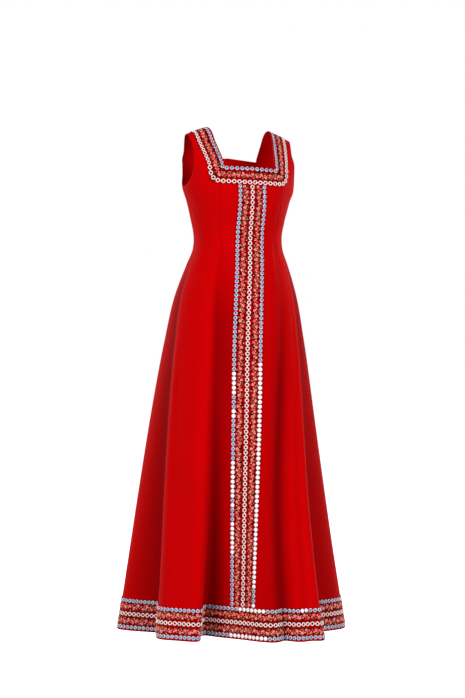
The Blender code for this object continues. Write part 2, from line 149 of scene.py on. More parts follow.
# Creases of the skirt: where each starts and ends down the cloth and round it (in knots), how wide it is
# there, and how far it stands out at its middle
SKIRT_CREASES = (
    (0.326, 3.00, 0.420, 2.45, 0.20, 0.30, -0.0016),
    (0.326, 3.05, 0.400, 2.86, 0.14, 0.18, -0.0014),
    (0.328, 3.05, 0.410, 3.35, 0.14, 0.20, -0.0013),
    (0.330, 2.70, 0.440, 2.05, 0.20, 0.28, 0.0012),
    (0.335, 3.60, 0.470, 3.75, 0.22, 0.30, 0.0010),
    (0.328, 7.00, 0.430, 6.55, 0.20, 0.26, -0.0013),
    (0.326, 7.05, 0.420, 7.45, 0.16, 0.22, -0.0014),
    (0.330, 6.30, 0.480, 6.20, 0.25, 0.30, 0.0011),
    (0.327, 1.40, 0.430, 1.30, 0.30, 0.40, -0.0012),
    (0.380, 4.20, 0.760, 4.25, 0.20, 0.22, 0.0016),
    (0.420, 3.60, 0.900, 3.75, 0.14, 0.16, -0.0015),
    (0.560, 0.40, 1.150, 0.55, 0.25, 0.25, -0.0030),
    (0.620, 1.55, 1.250, 1.60, 0.30, 0.30, 0.0030),
    (0.500, 6.30, 0.950, 6.35, 0.16, 0.16, 0.0014),
    (0.620, 12.60, 1.300, 12.70, 0.30, 0.30, -0.0030),
    (0.350, 11.50, 0.700, 11.60, 0.40, 0.35, 0.0022),
    (0.328, 15.00, 0.430, 14.60, 0.25, 0.35, -0.0014),
    (0.500, 16.60, 1.200, 16.75, 0.30, 0.30, -0.0030),
    (0.329, 19.00, 0.440, 19.30, 0.20, 0.30, -0.0015),
    (0.328, 18.80, 0.420, 18.30, 0.20, 0.30, -0.0013),
    (0.600, 20.70, 1.250, 20.60, 0.30, 0.30, 0.0030),
    (0.328, 23.10, 0.450, 23.40, 0.20, 0.30, -0.0016),
    (0.330, 22.70, 0.430, 22.30, 0.20, 0.30, -0.0013),
    (0.480, 24.60, 1.100, 24.50, 0.30, 0.30, -0.0028),
    (0.328, 27.00, 0.430, 27.35, 0.20, 0.30, -0.0014),
    (0.640, 28.60, 1.280, 28.75, 0.30, 0.30, 0.0030),
    (0.329, 30.90, 0.440, 30.50, 0.20, 0.30, -0.0014),
)
# Creases and soft forms of the bodice, the same way but with bearings in degrees
BODICE_CREASES = (
    (0.140, -27.0, 0.300, -26.0, 14.0, 14.0, 0.0060),
    (0.140, 27.0, 0.300, 26.0, 14.0, 14.0, 0.0060),
    (0.200, -80.0, 0.262, -52.0, 4.0, 6.0, -0.0014),
    (0.206, 80.0, 0.270, 54.0, 4.0, 6.0, -0.0014),
    (0.215, -88.0, 0.300, -64.0, 3.5, 5.0, -0.0010),
    (0.218, 88.0, 0.296, 66.0, 3.5, 5.0, -0.0011),
    (0.290, -30.0, 0.350, -36.0, 2.2, 2.6, -0.0008),
    (0.292, 31.0, 0.352, 36.0, 2.2, 2.6, -0.0008),
    (0.170, 150.0, 0.290, 146.0, 9.0, 10.0, 0.0035),
    (0.170, 210.0, 0.290, 214.0, 9.0, 10.0, 0.0035),
    (0.215, 112.0, 0.300, 130.0, 4.0, 5.0, -0.0012),
    (0.215, 248.0, 0.300, 230.0, 4.0, 5.0, -0.0012),
    (0.290, 168.0, 0.345, 176.0, 3.0, 3.0, -0.0010),
    (0.290, 192.0, 0.345, 186.0, 3.0, 3.0, -0.0010),
)
CREASE_FADE = 0.30

# How far a valley's painted shade, a darker tone that stands for the shade in the fold, reaches to its left
# and its right, in knots, how strong it is, and the length down the cloth over which it comes in
SHADE_START = 0.305
VALLEY_SHADES = (
    (0.50, 1.30, 1.00, 0.30),
    (1.15, 0.60, 1.08, 0.45),
    (0.50, 1.05, 0.85, 0.25),
    (0.90, 0.90, 0.90, 0.25),
    (0.80, 0.90, 0.90, 0.30),
    (0.90, 0.80, 0.90, 0.25),
    (0.80, 0.90, 0.90, 0.30),
    (0.65, 0.45, 1.00, 0.20),
)

# Mesh detail
ROW_SAMPLES = 481
EDGE_STOPS = (0.0, 0.0012, 0.0025, 0.0042, 0.0075)
COLUMN_STEP = 0.0058
ROW_STEP = 0.0062
ARMHOLE_ROW_STEP = 0.0025
FINE_ROWS_END = ARMPIT + 0.004
SEAM_GAP = 0.00002
SEAM_DEPTH = 0.0011
SEAM_WIDTH = 0.0017
SKIRT_SEAM_SHARE = 0.15
# The mesh attribute that carries the painted shade of the fold valleys
SHADE_NAME = "painted_valley_shade"
RIM_ROUND = 0.0005
STEP = 0.0015

# Motif rows on the full ribbon, across from its middle, and on the neck ribbon, from the neck edge, how
# far each neck row is rounded at the corners, and the pitch along each row
RING_ACROSS = 0.0
FLOWER_ACROSS = 0.018
SEQUIN_ACROSS = 0.0328
STITCH_ACROSS = 0.0387
NECK_RING = 0.039
NECK_FLOWER = 0.0225
NECK_SEQUIN = 0.0068
NECK_STITCH = 0.0440
NECK_ROUNDS = {NECK_RING: 0.026, NECK_FLOWER: 0.012, NECK_SEQUIN: 0.003, NECK_STITCH: 0.021}
RING_PITCH = 0.0131
NECK_RING_PITCH = 0.0141
SEQUIN_PITCH = 0.0119
NECK_SEQUIN_PITCH = 0.0134
FLOWER_PITCH = 0.0135
NECK_FLOWER_PITCH = 0.0125
STITCH_PITCH = 0.0044
# Motifs sit closer together and are smaller over the straps
STRAPS = ("neck_band_left", "neck_band_right")
STRAP_PITCH_SHARE = 0.74
STRAP_SIZE_SHARE = 0.82
NECK_FLOWER_SIZE = 0.85
HEM_FLOWER_SIZE = 0.95
FRONT_FLOWER_SIZE = 0.88
MOTIF_SINK = 0.0001


def columns_of(names, rows):
    """The table's columns by name."""
    return {name: np.array([row[i] for row in rows]) for i, name in enumerate(names)}


SECTION = columns_of(SECTION_COLUMNS, SECTIONS)
FOLD = columns_of(FOLD_COLUMNS, FOLDS)


def smooth_between(places, values, at):
    """A smooth curve through the values at the places, read at one place."""
    slopes = np.gradient(values, places)
    i = int(np.clip(np.searchsorted(places, at) - 1, 0, len(places) - 2))
    width = places[i + 1] - places[i]
    u = (at - places[i]) / width
    return (
        values[i] * (1 + 2 * u) * (1 - u) ** 2
        + values[i + 1] * u * u * (3 - 2 * u)
        + width * (slopes[i] * u * (1 - u) ** 2 - slopes[i + 1] * u * u * (1 - u))
    )


@lru_cache(maxsize=None)
def section(down):
    return {name: smooth_between(SECTION["down"], SECTION[name], down) for name in SECTION_COLUMNS}


def ease(value):
    value = min(max(value, 0.0), 1.0)
    return value * value * (3 - 2 * value)


def creases(table, down, places, lap):
    """How far the creases of a table stand out at this height, for an array of places round the cloth."""
    total = np.zeros_like(places)
    for start, start_place, end, end_place, start_width, end_width, height in table:
        share = (down - start) / (end - start)
        if not 0 < share < 1:
            continue
        fade = ease(share / CREASE_FADE) * ease((1 - share) / CREASE_FADE)
        middle = start_place + share * (end_place - start_place)
        width = start_width + share * (end_width - start_width)
        away = (places - middle + lap / 2) % lap - lap / 2
        total += height * fade * np.exp(-((away / width) ** 2))
    return total


def painted_fold_shade(down, places):
    """How much painted shade falls on the cloth deep in a fold's valley, 0 to 1, for an array of places in
    knots.
    """
    total = np.zeros_like(places)
    for valley, (left_width, right_width, strength, coming) in enumerate(VALLEY_SHADES):
        grown = ease((down - SHADE_START) / coming)
        away = (places - valley_place(valley) + LAP / 2) % LAP - LAP / 2
        width = np.where(away < 0, left_width, right_width)
        total = np.maximum(total, grown * strength * np.exp(-((away / width) ** 2)))
    return total


def point_at(down, bearing, out):
    """The inner face of the cloth at a place down it and a bearing round it, for arrays of bearings."""
    cut = section(down)
    out = out + creases(BODICE_CREASES, down, bearing, 360.0) / cut["half_width"]
    angle = np.radians(bearing)
    sine, cosine = np.sin(angle), np.cos(angle)
    power = 2 / cut["power"]
    depth = np.where(cosine >= 0, cut["front"], cut["back"])
    x = out * cut["half_width"] * np.sign(sine) * np.abs(sine) ** power
    y = -out * depth * np.sign(cosine) * np.abs(cosine) ** power
    tilt = SHOULDER_TILT * (1 - ease((down - FRONT_NECK) / (WAIST - FRONT_NECK)))
    z = cut["z"] - cut["slope"] * (np.abs(x) - STRAP_START) - tilt * x
    return np.stack([x + cut["shift_x"], y + cut["shift_y"], z + 0 * x], axis=-1)


def through_waist_mid_hem(waist, mid, hem, down):
    """The parabola through the three values, and level above the waist."""
    a, b, c = WAIST, MID, HEM
    d = max(down, WAIST)
    return (
        waist * (d - b) * (d - c) / ((a - b) * (a - c))
        + mid * (d - a) * (d - c) / ((b - a) * (b - c))
        + hem * (d - a) * (d - b) / ((c - a) * (c - b))
    )


def knots(down):
    """Bearings and outs of every fold's left edge, crest, right edge and valley at this height."""
    grown = max(down - FOLDS_START, 0.0) / (HEM - FOLDS_START)
    lines = {
        part: through_waist_mid_hem(
            FOLD[part + "_waist"], FOLD[part + "_mid"], FOLD[part + "_hem"], down
        )
        for part in ("left", "right", "valley")
    }
    crest = (lines["left"] + lines["right"]) / 2
    crest[FRONT_FOLD] = section(down)["turn"]
    bearings = np.stack([lines["left"], crest, lines["right"], lines["valley"]], axis=1).ravel()
    outs = np.stack(
        [FOLD["left_out"], FOLD["crest_out"], FOLD["right_out"], FOLD["valley_out"]], axis=1
    ).ravel()
    return bearings, 1 + grown * (outs - 1)


def round_curve(values, turn, at):
    """A closed smooth curve through the values, each lap adding turn, read at an array of places."""
    count = len(values)
    i = np.floor(at).astype(int)
    u = at - i

    def value(k):
        return values[k % count] + turn * np.floor_divide(k, count)

    before, start, end, after = value(i - 1), value(i), value(i + 1), value(i + 2)
    return (
        start
        + 0.5 * u * (end - before)
        + u * u * (before - 2.5 * start + 2 * end - 0.5 * after)
        + u**3 * (1.5 * (start - end) + 0.5 * (after - before))
    )


def valley_place(valley):
    return KNOTS_A_FOLD * valley + KNOTS_A_FOLD - 1


def skirt_points(down, places):
    """The inner face of the skirt round one height, at places counted in knots."""
    bearings, outs = knots(down)
    out = round_curve(outs, 0.0, places)
    out = out + creases(SKIRT_CREASES, down, places, LAP) / section(down)["half_width"]
    return point_at(down, round_curve(bearings, 360.0, places), out)


def upper_edges(panel, down):
    """Bearings of a panel's two edges above the waist, from the table."""
    cut = section(down)
    outer = min(cut["outer"], SIDE_SEAM)
    if panel == "front_centre":
        return -cut["inner_front"], cut["inner_front"]
    if panel.startswith("front_side"):
        near, far = cut["inner_front"], outer
    elif panel.startswith("back_side"):
        near, far = 180 - outer, 180 - cut["inner_back"]
    else:
        near, far = 180 - cut["inner_back"], 180.0
    if panel.endswith("right"):
        return near, far
    return (-far, -near) if panel.startswith("front") else (360 - far, 360 - near)


def lengths_along(points):
    steps = np.linalg.norm(np.diff(points, axis=0), axis=1)
    return np.concatenate([[0.0], np.cumsum(steps)])


def read_along(points, run, at):
    """The points of a line at these lengths along it."""
    return np.stack([np.interp(at, run, points[:, k]) for k in range(3)], axis=-1)


def panel_line(panel, down):
    """A fine line across a panel at this height, with its lengths and its shade."""
    first, last = PANELS[panel]
    places = np.linspace(valley_place(first), valley_place(last), ROW_SAMPLES)
    if down > WAIST:
        points = skirt_points(down, places)
    else:
        points = point_at(down, np.linspace(*upper_edges(panel, down), ROW_SAMPLES), 1.0)
    return points, lengths_along(points), painted_fold_shade(down, places)


def unit(vectors):
    return vectors / np.linalg.norm(vectors, axis=-1, keepdims=True)


def outward_of(points):
    """The outward directions of a grid whose rows run down and whose columns run round."""
    return unit(np.cross(np.gradient(points, axis=0), np.gradient(points, axis=1)))


def even_stops(start, end, step):
    return np.linspace(start, end, max(int(round((end - start) / step)), 1) + 1)


def panel_downs(panel):
    top = 0.0 if "side" in panel else FRONT_NECK if panel.startswith("front") else BACK_NECK
    edge = np.array(EDGE_STOPS)
    upper = even_stops(top + edge[-1], FINE_ROWS_END, ARMHOLE_ROW_STEP)
    lower = even_stops(FINE_ROWS_END, HEM - edge[-1], ROW_STEP)
    return np.concatenate([top + edge[:-1], upper, lower[1:], HEM - edge[:-1][::-1]])


def shader(name, roughness, sheen=0.0, coat=0.0, specular=0.5):
    """A new material, its node tree and its shader, with the values that are the same all over."""
    made = bpy.data.materials.new(name)
    made.use_nodes = True
    tree = made.node_tree
    node = tree.nodes["Principled BSDF"]
    node.inputs["Roughness"].default_value = roughness
    node.inputs["Sheen Weight"].default_value = sheen
    node.inputs["Sheen Roughness"].default_value = 0.45
    node.inputs["Coat Weight"].default_value = coat
    node.inputs["Coat Roughness"].default_value = 0.12
    node.inputs["Specular IOR Level"].default_value = specular
    return made, tree, node


def calculated(tree, operation, *values):
    """A Math node on sockets or numbers, and its output."""
    node = tree.nodes.new("ShaderNodeMath")
    node.operation = operation
    for socket, value in zip(node.inputs, values):
        if isinstance(value, (int, float)):
            socket.default_value = value
        else:
            tree.links.new(value, socket)
    return node.outputs[0]


def noise_from(tree, vector, scale, detail=2.0):
    node = tree.nodes.new("ShaderNodeTexNoise")
    node.inputs["Scale"].default_value = scale
    node.inputs["Detail"].default_value = detail
    tree.links.new(vector, node.inputs["Vector"])
    return node.outputs["Fac"]


def ramp_from(tree, factor, stops):
    """A colour ramp with (place, colour) stops."""
    node = tree.nodes.new("ShaderNodeValToRGB")
    elements = node.color_ramp.elements
    while len(elements) < len(stops):
        elements.new(0.5)
    for element, (place, colour) in zip(elements, stops):
        element.position = place
        element.color = (*colour, 1.0)
    tree.links.new(factor, node.inputs["Fac"])
    return node.outputs["Color"]


def object_place(tree):
    return tree.nodes.new("ShaderNodeTexCoord").outputs["Object"]


def toned(tree, node, place, scale, detail, stops):
    """Gives the shader a base colour that changes with a noise."""
    colour = ramp_from(tree, noise_from(tree, place, scale, detail), stops)
    tree.links.new(colour, node.inputs["Base Color"])


def mixed_colour(tree, factor, first, second):
    """A colour mix, by the colour sockets of the Mix node."""
    node = tree.nodes.new("ShaderNodeMix")
    node.data_type = "RGBA"
    sockets = [s for s in node.inputs if s.type == "RGBA"]
    for socket, value in zip([node.inputs[0], *sockets], (factor, first, second)):
        if isinstance(value, (int, float)):
            socket.default_value = value
        elif isinstance(value, tuple):
            socket.default_value = (*value, 1.0)
        else:
            tree.links.new(value, socket)
    return [s for s in node.outputs if s.type == "RGBA"][0]


def bumped(tree, node, height, strength, distance):
    bump = tree.nodes.new("ShaderNodeBump")
    bump.inputs["Strength"].default_value = strength
    bump.inputs["Distance"].default_value = distance
    tree.links.new(height, bump.inputs["Height"])
    tree.links.new(bump.outputs["Normal"], node.inputs["Normal"])


def flat_place(tree):
    """The place on the flat cloth, in metres: a vector, its way across and its way down."""
    flat = tree.nodes.new("ShaderNodeTexCoord").outputs["UV"]
    parts = tree.nodes.new("ShaderNodeSeparateXYZ")
    tree.links.new(flat, parts.inputs[0])
    return flat, parts.outputs["X"], parts.outputs["Y"]


def with_painted_shade(tree, colour, deep, strength):
    """The colour, darkened in the valleys of the folds: painted shade."""
    depth = tree.nodes.new("ShaderNodeAttribute")
    depth.attribute_name = SHADE_NAME
    return mixed_colour(tree, calculated(tree, "MULTIPLY", depth.outputs["Fac"], strength), colour, deep)


def weave(tree, across, down, thread):
    """A plain weave's height from two crossed waves, 0 to 1."""
    turns = 2 * math.pi / thread
    warp = calculated(tree, "SINE", calculated(tree, "MULTIPLY", across, turns))
    weft = calculated(tree, "SINE", calculated(tree, "MULTIPLY", down, turns))
    both = calculated(tree, "MULTIPLY", warp, weft)
    return calculated(tree, "MULTIPLY_ADD", both, 0.5, 0.5)


CLOTH_THREAD = 0.0011
CLOTH_DARK = (0.522, 0.0, 0.0007)
CLOTH_RED = (0.574, 0.0, 0.0009)
CLOTH_LIGHT = (0.609, 0.0004, 0.0017)
# Painted shade: the dark red mixed into cloth and ribbon in the fold valleys, and how strongly
CLOTH_PAINTED_SHADE = (0.113, 0.0, 0.0009)
PAINTED_SHADE_STRENGTH = 0.62


def cloth_material():
    made, tree, node = shader("red_cloth_woven", 0.85, sheen=0.10, specular=0.10)
    node.inputs["Sheen Tint"].default_value = (1.0, 0.01, 0.01, 1.0)
    node.inputs["Specular Tint"].default_value = (1.0, 0.03, 0.03, 1.0)
    flat, across, down = flat_place(tree)
    slubs = noise_from(tree, flat, 260.0, 3.0)
    broad = noise_from(tree, flat, 9.0, 2.0)
    threads = weave(tree, across, down, CLOTH_THREAD)
    tone = calculated(tree, "MULTIPLY", slubs, 0.60)
    tone = calculated(tree, "ADD", tone, calculated(tree, "MULTIPLY", broad, 0.40))
    colour = ramp_from(tree, tone, ((0.2, CLOTH_DARK), (0.48, CLOTH_RED), (0.8, CLOTH_LIGHT)))
    # Painted shade: darker red in the fold valleys
    colour = with_painted_shade(tree, colour, CLOTH_PAINTED_SHADE, PAINTED_SHADE_STRENGTH)
    tree.links.new(colour, node.inputs["Base Color"])
    height = calculated(tree, "ADD", calculated(tree, "MULTIPLY", threads, 0.6), slubs)
    bumped(tree, node, height, 0.22, 0.0004)
    return made


RIBBON_RED = (0.540, 0.0, 0.001)
# Deep red of the ground's clouds, and also the painted shade in the fold valleys
RIBBON_DEEP_RED_AND_SHADE = (0.070, 0.0, 0.0005)
RIBBON_BLACK = (0.012, 0.0, 0.0005)
RIBBON_EDGE = (0.420, 0.0, 0.004)
RIBBON_RIB = 0.0008
# Across from the ribbon's middle: where the patches lie, how much noise they need, and where its edge is
FLOWER_ZONE = (0.0085, 0.0285)
PATCH_START = 0.54
SELVEDGE = 0.0375


def ribbon_material():
    """Dark red ribbon, near black in patches under the flowers and brighter along its edges, with painted
    shade in the fold valleys.
    """
    made, tree, node = shader("ribbon_ground_woven", 0.70, specular=0.12)
    node.inputs["Specular Tint"].default_value = (1.0, 0.15, 0.15, 1.0)
    flat, along, across = flat_place(tree)
    away = calculated(tree, "ABSOLUTE", across)
    inside = calculated(tree, "GREATER_THAN", away, FLOWER_ZONE[0])
    inside = calculated(tree, "MULTIPLY", inside, calculated(tree, "LESS_THAN", away, FLOWER_ZONE[1]))
    patches = noise_from(tree, flat, 190.0, 2.0)
    patch = calculated(tree, "MULTIPLY", inside, calculated(tree, "GREATER_THAN", patches, PATCH_START))
    clouds = noise_from(tree, flat, 120.0, 2.0)
    ground = ramp_from(tree, clouds, ((0.3, RIBBON_DEEP_RED_AND_SHADE), (0.7, RIBBON_RED)))
    colour = mixed_colour(tree, patch, ground, RIBBON_BLACK)
    edge = calculated(tree, "GREATER_THAN", away, SELVEDGE)
    colour = mixed_colour(tree, edge, colour, RIBBON_EDGE)
    # Painted shade: the deep red again, in the fold valleys
    colour = with_painted_shade(tree, colour, RIBBON_DEEP_RED_AND_SHADE, PAINTED_SHADE_STRENGTH)
    tree.links.new(colour, node.inputs["Base Color"])
    bumped(tree, node, weave(tree, across, along, RIBBON_RIB), 0.3, 0.0003)
    return made


THREAD_SCALE = 420.0


def thread_material(name, dark, light):
    """Embroidery thread: two tones and fine twisted strands."""
    made, tree, node = shader(name, 0.6, sheen=0.04, specular=0.15)
    place = object_place(tree)
    toned(tree, node, place, THREAD_SCALE, 2.0, ((0.3, dark), (0.7, light)))
    strands = tree.nodes.new("ShaderNodeTexWave")
    strands.inputs["Scale"].default_value = THREAD_SCALE
    strands.inputs["Distortion"].default_value = 3.0
    tree.links.new(place, strands.inputs["Vector"])
    bumped(tree, node, strands.outputs["Fac"], 0.35, 0.0003)
    return made


def sequin_material(name, dark, light, roughness=0.22):
    """Glossy nacreous plastic with a slight change of tone from one to the next. The white kind is a
    painted glint, standing for highlights on blue sequins.
    """
    made, tree, node = shader(name, roughness, coat=0.5, specular=0.6)
    place = object_place(tree)
    toned(tree, node, place, 90.0, 1.0, ((0.35, dark), (0.65, light)))
    bumped(tree, node, noise_from(tree, place, 600.0, 1.0), 0.1, 0.0002)
    return made


MATERIALS = {
    "cloth": cloth_material(),
    "ribbon": ribbon_material(),
    "sequin_deep": sequin_material("sequin_blue_middle", (0.0, 0.15, 0.40), (0.0, 0.25, 0.52)),
    "sequin_sky": sequin_material("sequin_sky_blue", (0.0, 0.23, 0.50), (0.0, 0.36, 0.64)),
    "sequin_rim": thread_material("sequin_pale_rim", (0.92, 0.74, 0.82), (1.0, 0.95, 0.98)),
    # White sequins: painted glints, standing for highlights of the blue ones
    "painted_glint": sequin_material("sequin_white_painted_glint", (0.94, 0.95, 0.97), (1.0, 1.0, 1.0), 0.3),
    "link": thread_material("pink_link_thread", (0.62, 0.25, 0.33), (0.80, 0.42, 0.50)),
    "ring": thread_material("white_ring_thread", (1.0, 0.89, 0.85), (1.0, 0.98, 0.95)),
    "coral": thread_material("coral_petal_thread", (0.92, 0.070, 0.065), (1.0, 0.150, 0.135)),
    "coral_light": thread_material("light_coral_petal_thread", (1.0, 0.27, 0.235), (1.0, 0.54, 0.48)),
    "olive": thread_material("olive_leaf_thread", (0.08, 0.065, 0.012), (0.26, 0.20, 0.05)),
    "green": thread_material("green_leaf_thread", (0.06, 0.12, 0.02), (0.17, 0.30, 0.08)),
    "khaki": thread_material("khaki_leaf_thread", (0.55, 0.36, 0.14), (0.84, 0.62, 0.33)),
    "red_thread": thread_material("red_sewing_thread", (0.42, 0.0, 0.004), (0.60, 0.01, 0.01)),
}


def in_scene(name, data):
    """A new object with this data, in the scene."""
    made = bpy.data.objects.new(name, data)
    bpy.context.scene.collection.objects.link(made)
    return made


def look_at(thing, target):
    thing.rotation_euler = (target - thing.location).to_track_quat("-Z", "Y").to_euler()


def new_object(name, points, corners, starts, looks, face_looks=None, flats=None, shades=None):
    """A smooth mesh object that rides on the dress, from its points, the points at its faces' corners and
    where each face starts among those. flats gives each point's place on the flat cloth, and shades the
    painted shade it takes from lying deep in a fold."""
    mesh = bpy.data.meshes.new(name)
    mesh.vertices.add(len(points))
    mesh.vertices.foreach_set("co", np.asarray(points, dtype=np.float32).ravel())
    mesh.loops.add(len(corners))
    mesh.loops.foreach_set("vertex_index", np.asarray(corners, dtype=np.int32))
    mesh.polygons.add(len(starts))
    mesh.polygons.foreach_set("loop_start", np.asarray(starts, dtype=np.int32))
    for look in looks:
        mesh.materials.append(MATERIALS[look])
    if face_looks is not None:
        mesh.polygons.foreach_set("material_index", np.asarray(face_looks, dtype=np.int32))
    if flats is not None:
        layer = mesh.uv_layers.new(name="flat")
        layer.data.foreach_set("uv", np.asarray(flats, dtype=np.float32)[corners].ravel())
    if shades is not None:
        layer = mesh.attributes.new(name=SHADE_NAME, type="FLOAT", domain="POINT")
        layer.data.foreach_set("value", np.asarray(shades, dtype=np.float32))
    mesh.update(calc_edges=True)
    mesh.shade_smooth()
    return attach(in_scene(name, mesh), BODY)


def wall(name, inner, outer, flats, shades, look):
    """A closed sheet between two grids of points with the same rows and columns."""
    rows, columns = inner.shape[:2]
    size = rows * columns
    index = np.arange(size).reshape(rows, columns)
    a, b, c, d = index[:-1, :-1], index[1:, :-1], index[1:, 1:], index[:-1, 1:]
    outside = np.stack([a, b, c, d], axis=-1).reshape(-1, 4) + size
    inside = np.stack([a, d, c, b], axis=-1).reshape(-1, 4)
    rim = np.concatenate([index[:, 0], index[-1, 1:], index[-2::-1, -1], index[0, -2:0:-1]])
    following = np.roll(rim, -1)
    edge = np.stack([rim, following, following + size, rim + size], axis=-1)
    corners = np.concatenate([outside, inside, edge]).ravel()
    points = np.concatenate([inner.reshape(-1, 3), outer.reshape(-1, 3)])
    flat = np.tile(flats.reshape(-1, 2), (2, 1))
    shade = np.tile(shades.ravel(), 2)
    starts = np.arange(0, len(corners), 4)
    return new_object(name, points, corners, starts, (look,), flats=flat, shades=shade)


def edge_fall(distance, depth, width):
    return depth * np.exp(-((distance / width) ** 2))


def make_panel(panel):
    downs = panel_downs(panel)
    lines = [panel_line(panel, down) for down in downs]
    widest = max(run[-1] for _points, run, _shade in lines)
    edge = np.array(EDGE_STOPS)
    count = int(round((widest - 2 * edge[-1]) / COLUMN_STEP)) + 1
    points, flats, seams, shades = [], [], [], []
    for down, (line, run, shade) in zip(downs, lines):
        length = run[-1]
        shrink = min(1.0, length / (4 * edge[-1]))
        near = edge * shrink + SEAM_GAP / 2
        middle = np.linspace(near[-1], length - near[-1], count)
        stops = np.concatenate([near[:-1], middle, length - near[:-1][::-1]])
        points.append(read_along(line, run, stops))
        flats.append(np.stack([stops - length / 2, np.full(len(stops), down)], axis=-1))
        seams.append(np.minimum(stops, length - stops))
        shades.append(np.interp(stops, run, shade))
    inner = np.array(points)
    outward = outward_of(inner)
    seams = np.array(seams)
    ends = np.minimum(downs - downs[0], downs[-1] - downs)[:, None]
    depth = SEAM_DEPTH * np.where(downs > WAIST, SKIRT_SEAM_SHARE, 1.0)[:, None]
    lift = WALL - edge_fall(seams, depth, SEAM_WIDTH) - edge_fall(ends, RIM_ROUND, SEAM_WIDTH)
    outer = inner + lift[..., None] * outward
    made = wall("cloth_" + panel, inner, outer, np.array(flats), np.array(shades), "cloth")
    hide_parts(panel)
    width, length, area = CUTS[panel]
    return made


class Path:
    """A line of places on the ribbon's outer face, with the outward direction at each."""

    def __init__(self, points, outward, owners, closed):
        self.run = lengths_along(points)
        self.points, self.outward, self.owners, self.closed = points, outward, owners, closed
        self.length = self.run[-1]

    def frames(self, at):
        """Points, ways along, ways across and ways out at these lengths, and the owner of each."""
        at = np.mod(at, self.length) if self.closed else np.clip(at, 0, self.length)
        points = read_along(self.points, self.run, at)
        outward = unit(read_along(self.outward, self.run, at))
        ahead = read_along(self.points, self.run, np.clip(at + STEP, 0, self.length))
        behind = read_along(self.points, self.run, np.clip(at - STEP, 0, self.length))
        along = ahead - behind
        along = unit(along - outward * np.sum(along * outward, axis=-1, keepdims=True))
        across = np.cross(outward, along)
        owner = np.array(self.owners)[np.clip(np.searchsorted(self.run, at), 0, len(self.owners) - 1)]
        return points, along, across, outward, owner


def lathe(profile, segments, looks):
    """A round motif from (radius, height) rings, from the middle out, and each ring band's look: its points,
    its faces' corners, where each face starts among those, and each face's look."""
    points, corners, starts, face_looks, rings = [], [], [], [], []
    for radius, height in profile:
        if radius == 0:
            rings.append([len(points)] * segments)
            points.append((0.0, 0.0, height))
            continue
        rings.append(list(range(len(points), len(points) + segments)))
        for k in range(segments):
            turn = 2 * math.pi * k / segments
            points.append((radius * math.cos(turn), radius * math.sin(turn), height))
    for ring, following, look in zip(rings, rings[1:], looks):
        for k in range(segments):
            face = [ring[k], following[k], following[(k + 1) % segments], ring[(k + 1) % segments]]
            starts.append(len(corners))
            corners.extend(dict.fromkeys(face))
            face_looks.append(look)
    return np.array(points), np.array(corners), np.array(starts), np.array(face_looks)


def relooked(motif, look):
    """The same motif with one look all over."""
    return (*motif[:3], np.full(len(motif[3]), look))


class Motifs:
    """Many small pieces gathered into one joined mesh for each owner."""

    def __init__(self):
        self.blocks = {}

    def add(self, motif, frames, sizes=(1.0, 1.0, 1.0), turns=0.0, shifts=(0.0, 0.0)):
        """Puts a copy at each frame, scaled, turned about its own axis and shifted along and across."""
        shape, corners, starts, looks = motif
        places, along, across, outward, owners = frames
        count = len(places)
        turns = np.broadcast_to(np.asarray(turns, dtype=float), (count,))[:, None]
        share = np.where(np.isin(owners, STRAPS), STRAP_SIZE_SHARE, 1.0)[:, None]
        sizes = np.broadcast_to(np.asarray(sizes, dtype=float), (count, 3)) * share
        shifts = np.broadcast_to(np.asarray(shifts, dtype=float), (count, 2)) * share
        x, y, z = np.moveaxis(shape[None] * sizes[:, None], -1, 0)
        u = x * np.cos(turns) - y * np.sin(turns) + shifts[:, :1]
        v = x * np.sin(turns) + y * np.cos(turns) + shifts[:, 1:]
        parts = ((u, along), (v, across), (z - MOTIF_SINK, outward))
        placed = places[:, None] + sum(length[..., None] * way[:, None] for length, way in parts)
        for owner in np.unique(owners):
            mine = placed[owners == owner]
            blocks = self.blocks.setdefault(str(owner), [[], [], [], [], 0, 0])
            copies = np.arange(len(mine))[:, None]
            blocks[0].append(mine.reshape(-1, 3))
            blocks[1].append((corners[None] + copies * len(shape) + blocks[4]).ravel())
            blocks[2].append((starts[None] + copies * len(corners) + blocks[5]).ravel())
            blocks[3].append(np.tile(looks, len(mine)))
            blocks[4] += len(mine) * len(shape)
            blocks[5] += len(mine) * len(corners)

    def make(self, kind, looks):
        """One object for each owner, named for both."""
        made = {}
        for owner, blocks in self.blocks.items():
            points, corners, starts, face_looks = map(np.concatenate, blocks[:4])
            made[owner] = new_object(owner + "_" + kind, points, corners, starts, looks, face_looks)
        return made


# Round motifs: (radius, height) of each ring from the middle out, in metres, and each band's look
SEQUIN_MIDDLE = ((0, 0.0016), (0.0026, 0.0014), (0.0037, 0.0010), (0.0039, 0.0008))
SEQUIN_RIM = ((0.0042, 0.0012), (0.0046, 0.0009), (0.0048, 0))
SEQUIN = lathe(SEQUIN_MIDDLE + SEQUIN_RIM, 12, (0, 1, 2, 2, 2, 2))
